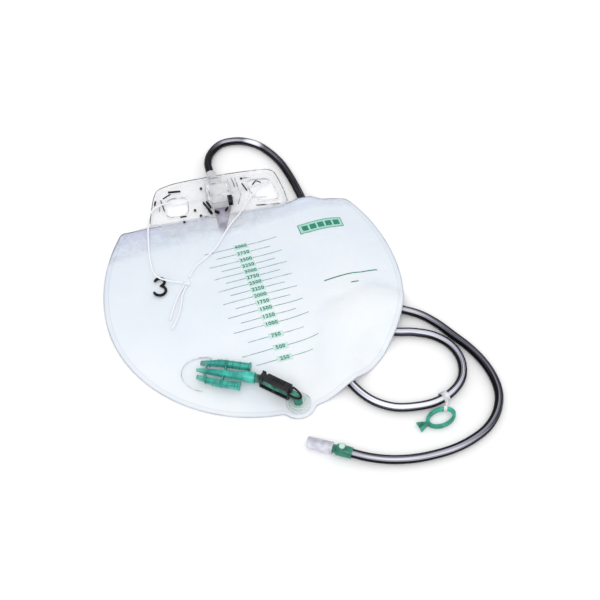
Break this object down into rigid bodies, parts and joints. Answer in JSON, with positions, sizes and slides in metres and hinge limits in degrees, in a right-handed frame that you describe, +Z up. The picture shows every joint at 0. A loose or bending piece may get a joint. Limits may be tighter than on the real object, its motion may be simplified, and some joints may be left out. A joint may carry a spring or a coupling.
{
  "type": "urine drainage bag",
  "caption": "Round-bottomed film drainage bag with a moulded hanger and drip chamber, a pinch-clamped outlet nozzle, a printed volume scale and a long looped drainage tube.",
  "frame": {"origin": "on the surface that the bag lies on, under the middle of the bag without its free tube", "axes": "+X across the bag to the right as it is read, +Y up the bag to its hanger, +Z up out of the printed face"},
  "size_m": [0.3823, 0.51, 0.0243],
  "materials": {
    "clear_film": "thin clear vinyl film, glossy",
    "white_film": "thin white vinyl film, satin",
    "clear_rigid": "clear moulded plastic, glossy",
    "clear_tube": "clear vinyl tube, glossy",
    "soft_funnel": "soft vinyl film, glossy",
    "teal_plastic": "moulded polypropylene, satin",
    "green_plastic": "soft vinyl, satin",
    "black_plastic": "moulded acetal, satin",
    "cord": "braided polyester",
    "septum": "matt rubber",
    "print": "printed ink"
  },
  "bodies": {
    "bag": {"back_film": "white_film", "front_film": "clear_film", "volume_scale": "print", "hanger_plate": "clear_rigid", "drip_chamber": "clear_rigid", "inlet_sleeve": "clear_rigid", "drip_nozzle": "clear_rigid", "vent_filter": "black_plastic", "anti_reflux_funnel": "soft_funnel", "drainage_tube": "clear_tube", "sampling_port": "green_plastic", "port_septum": "septum", "catheter_connector": "clear_rigid", "clip_band": "clear_rigid", "sheet_clip": "teal_plastic", "outlet_boss": "clear_rigid", "outlet_tube": "green_plastic", "clamp_base": "black_plastic", "outlet_nozzle": "teal_plastic", "nozzle_pocket": "clear_rigid", "hanging_cord": "cord", "cord_knot": "cord", "cord_tail_long": "cord", "cord_tail_short": "cord", "s_hook": "black_plastic"},
    "lever": {"clamp_lever": "black_plastic"},
    "cap": {"protective_cap": "clear_rigid"}
  },
  "joints": [
    {"name": "lever_hinge", "type": "hinge", "parent": "bag", "child": "lever", "pos_m": [-0.02931, -0.13145, 0.0217], "axis": [-0.7431, -0.6691, 0], "range_deg": [0, 35]},
    {"name": "cap_slide", "type": "slide", "parent": "bag", "child": "cap", "axis": [-0.8192, 0.5736, 0], "range_m": [0, 0.03]}
  ]
}
